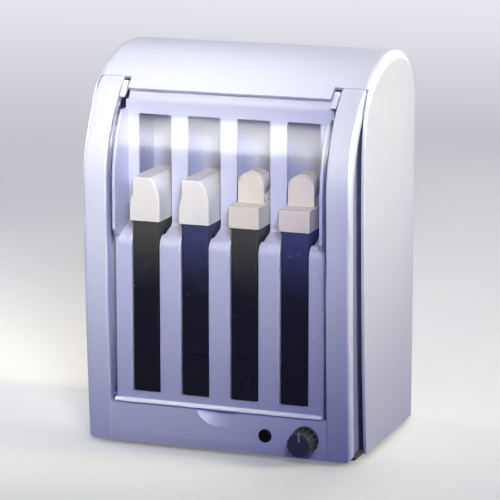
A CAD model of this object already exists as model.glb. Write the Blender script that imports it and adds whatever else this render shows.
# %% [markdown]
# # A roll-on wax heater, dressed for its portrait
# The heater warms four upright wax cartridges behind a clear lift-up door. Its solid parts come ready made
# as the frame, in metres. This lesson gives them their finishes, adds the pieces whose surface needs finer
# work than a solid gives, and sets up the studio.

# %% Load the frame
import math

import bmesh
import bpy
import numpy as np
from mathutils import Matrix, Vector


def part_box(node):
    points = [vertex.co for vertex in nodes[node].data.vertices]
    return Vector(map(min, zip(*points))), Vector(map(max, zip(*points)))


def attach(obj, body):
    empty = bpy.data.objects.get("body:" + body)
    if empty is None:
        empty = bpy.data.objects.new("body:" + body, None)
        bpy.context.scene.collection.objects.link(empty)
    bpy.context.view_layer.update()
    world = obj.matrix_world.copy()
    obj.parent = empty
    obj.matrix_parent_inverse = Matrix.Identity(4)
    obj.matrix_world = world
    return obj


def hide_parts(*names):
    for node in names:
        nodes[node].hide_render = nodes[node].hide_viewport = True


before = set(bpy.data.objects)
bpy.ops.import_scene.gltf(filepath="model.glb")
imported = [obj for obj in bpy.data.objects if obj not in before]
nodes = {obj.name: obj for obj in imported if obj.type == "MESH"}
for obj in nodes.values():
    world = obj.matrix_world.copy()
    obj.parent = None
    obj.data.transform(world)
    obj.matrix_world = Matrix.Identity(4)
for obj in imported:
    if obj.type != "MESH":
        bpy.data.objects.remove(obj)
scene = bpy.context.scene
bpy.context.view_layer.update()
print("solids loaded:", len(nodes))

# %% [markdown]
# ## Camera
# The heater is seen from its right and a little above, through a long lens, so its upright edges stay almost
# parallel. A camera turned 20 degrees round the object and raised 12 degrees gives that. It aims at the
# middle of the heater, so no shift is needed. The lamps are put in their places in the same way later on.


# %% Camera
def direction(azimuth, elevation):
    """Unit vector out from the heater, both angles in degrees, azimuth 0 in front and 90 at the right:
    (sin a cos e, -cos a cos e, sin e)."""
    a, e = math.radians(azimuth), math.radians(elevation)
    return Vector((math.sin(a) * math.cos(e), -math.cos(a) * math.cos(e), math.sin(e)))


def stand(name, data, out, distance, at):
    """Stand a camera or a lamp at a distance out from a point, facing it."""
    made = bpy.data.objects.new(name, data)
    scene.collection.objects.link(made)
    made.location = at + distance * out
    made.rotation_euler = (-out).to_track_quat("-Z", "Y").to_euler()
    return made


azimuth, elevation, distance = 20.09, 12.23, 2.36
sensor_width, focal_length = 36, 193
aim = Vector((0.0, 0.0058, 0.1645))
camera = stand("camera", bpy.data.cameras.new("camera"), direction(azimuth, elevation), distance, aim)
camera.data.sensor_width, camera.data.lens = sensor_width, focal_length
scene.camera = camera
print("camera stands", round(camera.location.length, 2), "m away")

# %% [markdown]
# ## Colours and nodes
# Colours are written as sRGB hex values, as a paint chart gives them, and one function turns them into the
# linear light that a renderer adds up. A second function adds a node with its settings and its links. A
# pattern's scale is one over the size of its grain in metres, so a scale of 1400 gives grains of 0.7 mm.

# %% Colours and nodes
materials = {}
BY, FROM, TO, MIXED = 0, 6, 7, 2  # a colour Mix node's sockets: factor, first and second colour, result


def linear(code):
    """sRGB hex to linear RGBA: below 0.04045 a channel is divided by 12.92, above it is
    ((c + 0.055) / 1.055) to the power 2.4."""
    c = np.array([int(code[i:i + 2], 16) for i in (1, 3, 5)]) / 255
    return (*np.where(c <= 0.04045, c / 12.92, ((c + 0.055) / 1.055) ** 2.4), 1.0)


def add(tree, kind, values=(), links=(), **settings):
    """Add a node: settings are its own properties, values fill its sockets, links feed them."""
    made = tree.nodes.new(kind)
    for key, value in settings.items():
        setattr(made, key, value)
    for socket, value in dict(values).items():
        made.inputs[socket].default_value = value
    for socket, source in dict(links).items():
        tree.links.new(source, made.inputs[socket])
    return made


def start(name):
    """A new material's empty node tree, and the Object coordinates, which are metres in the frame."""
    material = materials[name] = bpy.data.materials.new(name)
    material.use_nodes = True
    material.node_tree.nodes.clear()
    return material.node_tree, add(material.node_tree, "ShaderNodeTexCoord").outputs["Object"]


def finish(tree, shader):
    """Wire a shader to the surface output."""
    add(tree, "ShaderNodeOutputMaterial", links={"Surface": shader.outputs[0]})


# %% [markdown]
# ## Pearl lilac ABS
# The casing is injection-moulded ABS with a pearl pigment: tiny mica flakes in a lilac-grey resin. The eye
# gets a soft satin sheen, a tint that shifts a little over a hand's breadth, and a very fine moulded grain.
# The flakes are about 0.1 mm across, too fine to show, so they are drawn at 0.6 mm and kept faint. The bay
# liner has a deeper shade of the same, which gives the windows their depth.

# %% Pearl lilac ABS
for name, dark, pale in (("pearl_lilac_abs", "#b0b2d4", "#b6b8d9"),
                         ("liner_lilac_abs", "#9597bc", "#9a9cc1")):
    tree, place = start(name)
    drift = add(tree, "ShaderNodeTexNoise", {"Scale": 9, "Detail": 2}, {"Vector": place})
    tint = add(tree, "ShaderNodeMix", {FROM: linear(dark), TO: linear(pale)}, {BY: drift.outputs["Fac"]},
               data_type="RGBA")
    flakes = add(tree, "ShaderNodeTexVoronoi", {"Scale": 1600}, {"Vector": place})
    sparkle = add(tree, "ShaderNodeMapRange", {"To Min": 0.38, "To Max": 0.50},
                  {"Value": flakes.outputs["Color"]})
    grain = add(tree, "ShaderNodeTexNoise", {"Scale": 2200, "Detail": 2}, {"Vector": place})
    relief = add(tree, "ShaderNodeBump", {"Strength": 0.05, "Distance": 0.0002},
                 {"Height": grain.outputs["Fac"]})
    finish(tree, add(tree, "ShaderNodeBsdfPrincipled",
                     {"Metallic": 0.25, "IOR": 1.54, "Coat Weight": 0.06, "Coat Roughness": 0.3},
                     {"Base Color": tint.outputs[MIXED], "Roughness": sparkle.outputs[0],
                      "Normal": relief.outputs[0]}))
print("pearl finishes:", *materials)

# %% [markdown]
# ## The knob's paint
# The thermostat knob is black with a paler face and a painted pointer. Both are picked out by where a point
# lies on the knob, so no extra piece is needed: the face is the foremost 1.6 mm, and the pointer a line
# 1.4 mm wide on it that starts 2.5 mm above the middle.

# %% The knob's paint
knob_low, knob_high = (np.array(corner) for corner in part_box("thermostat_knob"))
knob_middle = (knob_low + knob_high) / 2
face_depth, pointer_half, pointer_start = 0.0016, 0.0007, 0.0025


def painted(tree, place, colour):
    """The face colour where Y < front + face depth, and the pointer's where also |X - middle| < its half
    width and Z > middle + its start."""
    at = add(tree, "ShaderNodeSeparateXYZ", links={0: place}).outputs
    front = add(tree, "ShaderNodeMath", {1: knob_low[1] + face_depth}, {0: at["Y"]}, operation="LESS_THAN")
    near = add(tree, "ShaderNodeMath", {1: knob_middle[0], 2: pointer_half}, {0: at["X"]},
               operation="COMPARE")
    above = add(tree, "ShaderNodeMath", {1: knob_middle[2] + pointer_start}, {0: at["Z"]},
                operation="GREATER_THAN")
    line = add(tree, "ShaderNodeMath", links={0: near.outputs[0], 1: above.outputs[0]}, operation="MULTIPLY")
    line = add(tree, "ShaderNodeMath", links={0: line.outputs[0], 1: front.outputs[0]}, operation="MULTIPLY")
    face = add(tree, "ShaderNodeMix", {TO: linear("#383844")}, {BY: front.outputs[0], FROM: colour},
               data_type="RGBA")
    return add(tree, "ShaderNodeMix", {TO: linear("#a9a9b4")},
               {BY: line.outputs[0], FROM: face.outputs[MIXED]}, data_type="RGBA").outputs[MIXED]


print("knob face from Y =", round(knob_low[1], 4), "m")

# %% [markdown]
# ## Grey and black ABS, phenolic and rubber
# The inner chassis is slate ABS and the rear cover dark grey, both with a spark-eroded grain. Hidden
# mouldings are black. The electrical parts are phenolic, harder and glossier, and the feet are matt rubber.
# All are one recipe: a fine noise drives the tint, the roughness and the relief together.

# %% Grey and black ABS, phenolic and rubber
for name, dark, pale, rough, specular, coat, scale in (
        ("slate_abs", "#60638f", "#696c99", 0.5, 0.5, 0.0, 1400),
        ("dark_grey_abs", "#3b3d4a", "#454756", 0.5, 0.5, 0.0, 1400),
        ("black_abs", "#040405", "#080809", 0.6, 0.12, 0.0, 1400),
        ("black_phenolic", "#151515", "#1f1e1c", 0.3, 0.5, 0.3, 700),
        ("foot_rubber", "#202022", "#29292b", 0.85, 0.5, 0.0, 900),
        ("knob_black", "#18181d", "#202127", 0.42, 0.5, 0.0, 1100)):
    tree, place = start(name)
    speck = add(tree, "ShaderNodeTexNoise", {"Scale": scale, "Detail": 3}, {"Vector": place})
    tint = add(tree, "ShaderNodeMix", {FROM: linear(dark), TO: linear(pale)}, {BY: speck.outputs["Fac"]},
               data_type="RGBA")
    relief = add(tree, "ShaderNodeBump", {"Strength": 0.25, "Distance": 0.0003},
                 {"Height": speck.outputs["Fac"]})
    spread = add(tree, "ShaderNodeMapRange",
                 {"From Min": 0.3, "From Max": 0.7, "To Min": rough - 0.06, "To Max": rough + 0.06},
                 {"Value": speck.outputs["Fac"]})
    colour = tint.outputs[MIXED]
    if name == "knob_black":
        colour = painted(tree, place, colour)
    finish(tree, add(tree, "ShaderNodeBsdfPrincipled",
                     {"IOR": 1.54, "Specular IOR Level": specular, "Coat Weight": coat,
                      "Coat Roughness": 0.15},
                     {"Base Color": colour, "Roughness": spread.outputs[0], "Normal": relief.outputs[0]}))
print("finishes so far:", len(materials))

# %% [markdown]
# ## Cartridge bottles
# The bottles are blow-moulded polypropylene in a deep tint, charcoal on two of them and navy on the others.
# The wax makes the lower part nearly black. Above its level, about 17 cm up, the tint shows, and the change
# is soft because wax clings to the wall. So the colour follows the height, with a noise of 17 mm that makes
# the level slightly wavy.

# %% Cartridge bottles
wax_low, wax_high, wave = 0.145, 0.212, 0.02
for name, full, empty in (("tank_charcoal", "#0f0f11", "#383834"), ("tank_navy", "#0f0f15", "#30345a")):
    tree, place = start(name)
    cloud = add(tree, "ShaderNodeTexNoise", {"Scale": 60, "Detail": 3}, {"Vector": place})
    height = add(tree, "ShaderNodeSeparateXYZ", links={0: place})
    wavy = add(tree, "ShaderNodeMath", {1: wave}, {0: cloud.outputs["Fac"], 2: height.outputs["Z"]},
               operation="MULTIPLY_ADD")
    level = add(tree, "ShaderNodeMapRange", {"From Min": wax_low, "From Max": wax_high},
                {"Value": wavy.outputs[0]}, interpolation_type="SMOOTHSTEP")
    tint = add(tree, "ShaderNodeMix", {FROM: linear(full), TO: linear(empty)}, {BY: level.outputs[0]},
               data_type="RGBA")
    finish(tree, add(tree, "ShaderNodeBsdfPrincipled",
                     {"Roughness": 0.34, "IOR": 1.49, "Specular IOR Level": 0.12},
                     {"Base Color": tint.outputs[MIXED]}))
print("wax stands at about", round((wax_low + wax_high - wave) / 2, 3), "m")

# %% [markdown]
# ## Cream and white polypropylene
# Roller heads and rollers are cream polypropylene, the caps are white, and the hinge pins are white nylon.
# Light sinks a little way into all of them, which softens their edges, and a faint cloudiness of about 4 mm
# shows how the melt flowed.

# %% Cream and white polypropylene
for name, dark, pale, rough in (("head_cream", "#b9b1b1", "#bfb8b8", 0.38),
                                ("roller_cream", "#b5aba8", "#bcb3b0", 0.28),
                                ("cap_white", "#bcb9c3", "#c2bfc9", 0.33),
                                ("door_pin_nylon", "#c9c9d2", "#d3d3da", 0.45)):
    tree, place = start(name)
    cloud = add(tree, "ShaderNodeTexNoise", {"Scale": 240, "Detail": 2}, {"Vector": place})
    tint = add(tree, "ShaderNodeMix", {FROM: linear(dark), TO: linear(pale)}, {BY: cloud.outputs["Fac"]},
               data_type="RGBA")
    relief = add(tree, "ShaderNodeBump", {"Strength": 0.06, "Distance": 0.0003},
                 {"Height": cloud.outputs["Fac"]})
    finish(tree, add(tree, "ShaderNodeBsdfPrincipled",
                     {"Roughness": rough, "IOR": 1.49, "Subsurface Weight": 0.12,
                      "Subsurface Radius": (1, 0.9, 0.7), "Subsurface Scale": 0.0015},
                     {"Base Color": tint.outputs[MIXED], "Normal": relief.outputs[0]}))
print("finishes so far:", len(materials))

# %% [markdown]
# ## Metals and mica
# The wells are black-anodised aluminium, the screws, pins and clamp bar zinc-plated steel, and the heating
# elements are wrapped in mica board, which shows pale platelets a few millimetres wide.

# %% Metals and mica
for name, code, rough, scale in (("black_anodised", "#2a2b31", 0.4, 900), ("steel", "#b9bcc0", 0.28, 1500)):
    tree, place = start(name)
    streak = add(tree, "ShaderNodeTexNoise", {"Scale": scale, "Detail": 4}, {"Vector": place})
    spread = add(tree, "ShaderNodeMapRange",
                 {"From Min": 0.3, "From Max": 0.7, "To Min": rough - 0.07, "To Max": rough + 0.07},
                 {"Value": streak.outputs["Fac"]})
    finish(tree, add(tree, "ShaderNodeBsdfPrincipled", {"Base Color": linear(code), "Metallic": 1.0},
                     {"Roughness": spread.outputs[0]}))

tree, place = start("mica_board")
platelets = add(tree, "ShaderNodeTexVoronoi", {"Scale": 320}, {"Vector": place})
tint = add(tree, "ShaderNodeMix", {FROM: linear("#a48b66"), TO: linear("#cbb68e")},
           {BY: platelets.outputs["Distance"]}, data_type="RGBA")
finish(tree, add(tree, "ShaderNodeBsdfPrincipled", {"Roughness": 0.45}, {"Base Color": tint.outputs[MIXED]}))
print("finishes so far:", len(materials))

# %% [markdown]
# ## Clear door
# The door is a thin sheet of clear acrylic. A thin sheet bends light too little to see, so it is drawn as
# straight transparency with a mirror reflection on top. Each face mirrors as much as Schlick's formula gives
# for acrylic, 0.04 + 0.96 f^5, where f is 0 face on and 1 edge on, as the Facing output is at a blend of
# 0.5. A little roughness spreads the reflection, as fine scratches do.

# %% Clear door
tree, place = start("clear_door")
through = add(tree, "ShaderNodeBsdfTransparent", {"Color": linear("#fcfcff")})
gloss = add(tree, "ShaderNodeBsdfGlossy", {"Roughness": 0.19, "Color": linear("#ffffff")})
tilt = add(tree, "ShaderNodeLayerWeight", {"Blend": 0.5})
fifth = add(tree, "ShaderNodeMath", {1: 5.0}, {0: tilt.outputs["Facing"]}, operation="POWER")
mirror = add(tree, "ShaderNodeMath", {1: 0.96, 2: 0.04}, {0: fifth.outputs[0]}, operation="MULTIPLY_ADD")
finish(tree, add(tree, "ShaderNodeMixShader",
                 links={0: mirror.outputs[0], 1: through.outputs[0], 2: gloss.outputs[0]}))
print("the clear door is made of", len(tree.nodes), "nodes")

# %% [markdown]
# ## Frosted acrylic and lamp lens
# The door's lip is sanded acrylic, which scatters so much light that it looks white and matt. The lamp lens
# is deep amber, dark while the heater is off.

# %% Frosted acrylic and lamp lens
tree, place = start("frosted_acrylic")
sanded = add(tree, "ShaderNodeTexNoise", {"Scale": 1500, "Detail": 3}, {"Vector": place})
tint = add(tree, "ShaderNodeMix", {FROM: linear("#dadbf2"), TO: linear("#e8e9f9")},
           {BY: sanded.outputs["Fac"]}, data_type="RGBA")
relief = add(tree, "ShaderNodeBump", {"Strength": 0.2, "Distance": 0.0002}, {"Height": sanded.outputs["Fac"]})
finish(tree, add(tree, "ShaderNodeBsdfPrincipled", {"Roughness": 0.5, "IOR": 1.49},
                 {"Base Color": tint.outputs[MIXED], "Normal": relief.outputs[0]}))

tree, place = start("lamp_amber")
swirl = add(tree, "ShaderNodeTexNoise", {"Scale": 300}, {"Vector": place})
tint = add(tree, "ShaderNodeMix", {FROM: linear("#0c0906"), TO: linear("#150f08")},
           {BY: swirl.outputs["Fac"]}, data_type="RGBA")
finish(tree, add(tree, "ShaderNodeBsdfPrincipled",
                 {"Roughness": 0.15, "IOR": 1.49, "Specular IOR Level": 0.3, "Coat Weight": 0.1,
                  "Coat Roughness": 0.05}, {"Base Color": tint.outputs[MIXED]}))
print("finishes:", *sorted(materials))

# %% [markdown]
# ## Finishes on the solids
# Every solid comes with a plain material that is named for its finish, so it takes the finish of that name.
# Blender puts a dot and a number behind a name that is taken, so only what stands before a dot is read. The
# bay liner takes the deeper shade of its lilac.

# %% Finishes on the solids
for name, node in nodes.items():
    wanted = "liner_lilac_abs" if name == "bay_liner" else node.data.materials[0].name.split(".")[0]
    node.data.materials.clear()
    node.data.materials.append(materials[wanted])
print("finished", len(nodes), "solids")

# %% [markdown]
# ## A surface from a grid of points
# A shape is worked out as one array of points, rows along one direction and columns along the other, and
# this helper turns it into a mesh. The columns close on themselves, as they do round a tube, and each open
# end is capped with one face. Points are shared, so the shading runs smoothly over the surface, apart from
# edges that turn by more than 30 degrees.


# %% A surface from a grid of points
sharp_angle = math.radians(30)


def surface(name, shells, material, body):
    """Mesh of one or more closed tubes: each shell is (rows, columns, 3), columns wrap round, ends capped."""
    points, faces, first = [], [], 0
    for shell in shells:
        rows, columns = shell.shape[:2]
        index = first + np.arange(rows * columns).reshape(rows, columns)
        beside = np.roll(index, -1, axis=1)
        faces += np.stack([index[:-1], beside[:-1], beside[1:], index[1:]], -1).reshape(-1, 4).tolist()
        faces += [index[0][::-1].tolist(), index[-1].tolist()]
        points.append(shell.reshape(-1, 3))
        first += rows * columns
    mesh = bpy.data.meshes.new(name)
    mesh.from_pydata(np.concatenate(points).tolist(), [], faces)
    work = bmesh.new()
    work.from_mesh(mesh)
    bmesh.ops.recalc_face_normals(work, faces=work.faces)
    work.to_mesh(mesh)
    work.free()
    mesh.polygons.foreach_set("use_smooth", np.ones(len(mesh.polygons), dtype=bool))
    mesh.set_sharp_from_angle(angle=sharp_angle)
    mesh.materials.append(material)
    piece = bpy.data.objects.new(name, mesh)
    scene.collection.objects.link(piece)
    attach(piece, body)
    print(name, "has", len(mesh.polygons), "faces")
    return piece


# %% [markdown]
# ## The curve of the front
# The door lies in the heater's own front surface: a very large circle that draws back slightly towards the
# foot, and above it the circle of the hood. A function gives that curve by its length, so that a section can
# be carried along it.

# %% The curve of the front
front_y, hood_start, hood_radius, sweep_radius = -0.083438, 0.231, 0.112, 3.224563


def along_hood(degrees):
    """Length on the hood's circle at an angle from where the hood starts."""
    return math.radians(degrees) * hood_radius


def front_curve(s, inset):
    """Y and Z of the heater's front, s metres along it from where the hood starts. Below, a large circle of
    radius R draws back: y = front + R - sqrt((R - inset)^2 - s^2), z = start + s. Above, the hood's circle
    of radius r has angle a = s / r: y = front + r - (r - inset) cos a, z = start + (r - inset) sin a."""
    angle = np.maximum(s, 0) / hood_radius
    low = np.minimum(s, 0)
    y_low = front_y + sweep_radius - np.sqrt((sweep_radius - inset) ** 2 - low ** 2)
    y_high = front_y + hood_radius - (hood_radius - inset) * np.cos(angle)
    return (np.where(s < 0, y_low, y_high),
            np.where(s < 0, hood_start + s, hood_start + (hood_radius - inset) * np.sin(angle)))


print("top of the hood:", round(hood_start + hood_radius, 3), "m")

# %% [markdown]
# ## The clear sheet
# The real door is one sheet of acrylic, 2.2 mm thick, drawn over a mould that has the hood's own curve. Its
# sides are folded back as thin flanges. A sheet like this could be made with a Solidify modifier, but its
# rounded, polished edges catch the light, so here a small rounded section is carried up the curve instead.

# %% The clear sheet
door_low, door_high_angle, flange_angle = 0.0405, 45.9, 43.9
door_half, notch_half, notch_step = 0.0982, 0.0922, 0.0012
sheet_inset, sheet_half, sheet_edge = 0.0021, 0.0011, 0.0005
flange_inset, flange_wide, flange_deep, flange_edge = 0.003, 0.001, 0.002, 0.0004


def rounded(half_wide, half_deep, corner, steps=5):
    """Closed outline of a rectangle with rounded corners: each corner's centre plus radius (cos t, sin t)."""
    t = np.linspace(0, np.pi / 2, steps) + np.array([[0], [1], [2], [3]]) * np.pi / 2
    sign = np.array([[1, 1], [-1, 1], [-1, -1], [1, -1]])
    wide = sign[:, :1] * (half_wide - corner) + corner * np.cos(t)
    deep = sign[:, 1:] * (half_deep - corner) + corner * np.sin(t)
    return wide.ravel(), deep.ravel()


def carried(outline, inset, top_angle, stretch=lambda s: 1.0, shift=0.0, steps=90):
    """An outline (x, depth) carried up the front curve from the door's foot to an angle round the hood."""
    s = np.linspace(door_low - hood_start, along_hood(top_angle), steps)[:, None]
    x = outline[0][None] * stretch(s) + shift
    y, z = front_curve(s, inset + outline[1][None])
    return np.stack([x + 0 * y, y, z], -1)


def narrowing(s):
    """Full width up to the hinge ears, then a smooth step t^2 (3 - 2 t) down to the width between notches."""
    t = np.clip((s - along_hood(flange_angle)) / notch_step + 1, 0, 1)
    return 1 - (1 - notch_half / door_half) * t * t * (3 - 2 * t)


sheet = carried(rounded(door_half, sheet_half, sheet_edge), sheet_inset, door_high_angle, narrowing)
flanges = [carried(rounded(flange_wide, flange_deep, flange_edge), flange_inset, flange_angle,
                   shift=side * (door_half - flange_wide)) for side in (-1, 1)]
door = surface("door_sheet", [sheet, *flanges], materials["clear_door"], "door")
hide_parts("door_panel")

# %% [markdown]
# ## Hinge knuckles
# A knuckle at each top corner of the sheet carries the hinge pin. The knuckles are moulded in the casing's
# pearl lilac and glued on. Seen from the side each is a belt round two circles, one round the pin and a
# smaller one at the sheet's corner, so that outline is worked out and then drawn along the hinge.

# %% Hinge knuckles
hinge = np.array([-0.042342, 0.314312])
pin_ear, corner_ear, corner_angle = 0.003, 0.0011, flange_angle - 1.5
ear_inner, ear_rim = 0.0936, 0.0004


def knuckle(side, steps=28, rim_steps=4):
    """Hinge ear. The belt leaves both circles at the angle acos((R - r) / distance) from the line between
    their centres. Along X its rims are drawn in by a quarter circle, rim (1 - sin t) inwards where it is
    rim (1 - cos t) from the end."""
    corner = np.array(front_curve(np.array(along_hood(corner_angle)), sheet_inset))
    gap = corner - hinge
    lean = math.atan2(gap[1], gap[0])
    leave = math.acos((pin_ear - corner_ear) / np.hypot(*gap))
    turn = np.concatenate([lean + np.linspace(leave, 2 * np.pi - leave, steps),
                           lean + np.linspace(-leave, leave, steps // 2)])
    at_pin = np.arange(turn.size) < steps
    centre = np.where(at_pin[:, None], hinge, corner)
    t = np.linspace(0, np.pi / 2, rim_steps)
    inward, from_end = ear_rim * (1 - np.sin(t)), ear_rim * (1 - np.cos(t))
    x = np.concatenate([ear_inner + from_end, door_half - from_end[::-1]])[:, None]
    reach = np.where(at_pin, pin_ear, corner_ear) - np.concatenate([inward, inward[::-1]])[:, None]
    return np.stack([side * x + 0 * reach, centre[:, 0] + reach * np.cos(turn),
                     centre[:, 1] + reach * np.sin(turn)], -1)


surface("door_knuckles", [knuckle(-1), knuckle(1)], materials["pearl_lilac_abs"], "door")

# %% [markdown]
# ## The door's lip
# Along the foot of the sheet runs a bead for the fingertips. On the real door it is sanded matt, so it looks
# milky and shows as a pale line over the control panel. The section is a small wedge, and a Bevel modifier
# softens it.

# %% The door's lip
lip_half, lip_proud, lip_edge = 0.0951, 0.0014, 0.0004
section = ((0.0405, 0.0032), (0.0405, 0.001), (0.0423, 0.001), (0.0441, 0.0021))  # height, inset
corners = np.array([front_curve(np.array(height - hood_start), inset) for height, inset in section])
corners[1:3, 0] = corners[1, 0] - lip_proud
wedge = np.empty((2, len(section), 3))
wedge[..., 0] = [[-lip_half], [lip_half]]
wedge[..., 1:] = corners
lip = surface("door_lip", [wedge], materials["frosted_acrylic"], "door")
soften = lip.modifiers.new("soften", "BEVEL")
soften.width, soften.segments, soften.limit_method = lip_edge, 3, "ANGLE"

# %% [markdown]
# ## Lights
# A moulded pearl surface shows its shape only when the light on it changes, so the keys are small gridded
# softboxes (a narrow spread) aimed at the upper left of the front: the hood and the tops of the ribs stand
# in full light, and the panel and the lower right fall into a cool shade that a weak blue fill keeps open.
# The cheek has a key and a fill of its own, and one softbox each lights the left side and the back.
#
# The curved door mirrors a strip hung in front, high on the left. It is bright enough to show as a soft band
# across the windows, so it is linked to the clear sheet alone. The sheet itself is left out when the other
# pieces light each other, because it is too clear to change what is seen there.


# %% Lights
def softbox(name, angles, distance, size, power, code="#ffffff", at=aim, spread=180):
    """An area light out at (azimuth, elevation) from a point, facing it: size in metres, power in watts."""
    lamp = bpy.data.lights.new(name, "AREA")
    lamp.shape, lamp.size, lamp.size_y = "RECTANGLE", *size
    lamp.energy, lamp.color, lamp.spread = power, linear(code)[:3], math.radians(spread)
    return stand(name, lamp, direction(*angles), distance, Vector(at))


softbox("key", (10, 20), 1.2, (0.3, 0.3), 0.28, "#fff970", (-0.06, -0.08, 0.31), 26)
softbox("key_top", (8, 38), 1.2, (0.3, 0.3), 0.08, "#ffb060", (-0.08, -0.07, 0.32), 24)
softbox("key_right", (30, 25), 1.2, (0.3, 0.3), 1.08, "#f6fff4", (-0.08, -0.08, 0.30), 30)
softbox("front_fill", (5, 5), 1.6, (1.0, 1.0), 4.6, "#4c50ff", (0, 0, 0.16))
softbox("cheek_top", (95, 20), 1.2, (0.3, 0.3), 0.80, "#fff8a8", (0.125, 0, 0.30), 32)
softbox("cheek_fill", (92, 24), 1.4, (0.8, 0.8), 3.05, "#fffcf4", (0.125, 0.03, 0.16), 70)
softbox("left_side", (-100, 14), 1.5, (0.8, 0.8), 3.7, "#fffdf0", spread=70)
softbox("rear", (174, 18), 1.7, (0.9, 0.9), 2.8, "#fffdf0", spread=70)
band = softbox("band", (-24, 39), 2.0, (0.8, 0.9), 17)
softbox("backdrop", (0, 90), 2.2, (3.0, 3.0), 14, "#fffffc", (-0.6, 2.7, 0), 110)

band.light_linking.receiver_collection = bpy.data.collections.new("mirrors_the_band")
band.light_linking.receiver_collection.objects.link(door)
door.visible_diffuse = door.visible_glossy = False
print("lamps:", len(bpy.data.lights))

# %% [markdown]
# ## Sky
# A very soft sun, 50 degrees wide, stands for a bright ceiling, and a faint blue world keeps the deepest
# shade from going black. The Standard view shows the colours as they are worked out.

# %% Sky
sky = bpy.data.objects.new("sky", bpy.data.lights.new("sky", "SUN"))
scene.collection.objects.link(sky)
sky.data.energy, sky.data.angle, sky.data.color = 0.45, math.radians(50), linear("#fffdf6")[:3]
sky.rotation_euler = (math.radians(-14), 0, 0)
world = bpy.data.worlds.new("studio")
world.use_nodes = True
world.node_tree.nodes["Background"].inputs["Color"].default_value = linear("#a7a7ff")
world.node_tree.nodes["Background"].inputs["Strength"].default_value = 0.13
scene.world = world
scene.view_settings.view_transform = "Standard"
print("sky strength", round(sky.data.energy, 2))

# %% [markdown]
# ## Floor
# The floor is a wide bowl, flat near the heater and rising far out, with a faint glow of its own that grows
# outwards, as on a lit cyclorama: every view then has a plain pale ground. It throws no light back, as if
# black cloth lay round the heater, because a white floor would fill the shade from below.

# %% Floor
tree, place = start("studio_floor")
soft = add(tree, "ShaderNodeTexNoise", {"Scale": 2}, {"Vector": place})
tint = add(tree, "ShaderNodeMix", {FROM: linear("#b4b5ba"), TO: linear("#b9babf")},
           {BY: soft.outputs["Fac"]}, data_type="RGBA")
radius = add(tree, "ShaderNodeVectorMath", links={0: place}, operation="LENGTH")
glow = add(tree, "ShaderNodeMapRange", {"From Min": 0.2, "From Max": 4.4, "To Min": 0.20, "To Max": 0.66},
           {"Value": radius.outputs["Value"]}, interpolation_type="SMOOTHSTEP")
finish(tree, add(tree, "ShaderNodeBsdfPrincipled", {"Roughness": 0.7, "Emission Color": linear("#fbfbff")},
                 {"Base Color": tint.outputs[MIXED], "Emission Strength": glow.outputs[0]}))

sectors, flat_radius, full_radius, rise = 96, 4, 9, 0.22
rings = np.concatenate([np.linspace(0.5, flat_radius, 8), np.linspace(flat_radius + 0.2, full_radius, 25)])
r, t = np.meshgrid(rings, np.linspace(0, 2 * np.pi, sectors, endpoint=False), indexing="ij")
bowl = np.stack([r * np.cos(t), r * np.sin(t), rise * np.maximum(r - flat_radius, 0) ** 2], -1)
index = 1 + np.arange(r.size).reshape(r.shape)
beside = np.roll(index, -1, axis=1)
quads = np.stack([index[:-1], index[1:], beside[1:], beside[:-1]], -1).reshape(-1, 4)
middle = np.stack([0 * index[0], index[0], beside[0]], -1)
mesh = bpy.data.meshes.new("floor")
mesh.from_pydata([[0, 0, 0], *bowl.reshape(-1, 3).tolist()], [], quads.tolist() + middle.tolist())
mesh.polygons.foreach_set("use_smooth", np.ones(len(mesh.polygons), dtype=bool))
mesh.materials.append(materials["studio_floor"])
floor = bpy.data.objects.new("floor", mesh)
scene.collection.objects.link(floor)
floor.visible_diffuse = floor.visible_glossy = False
print("floor has", len(mesh.polygons), "faces")
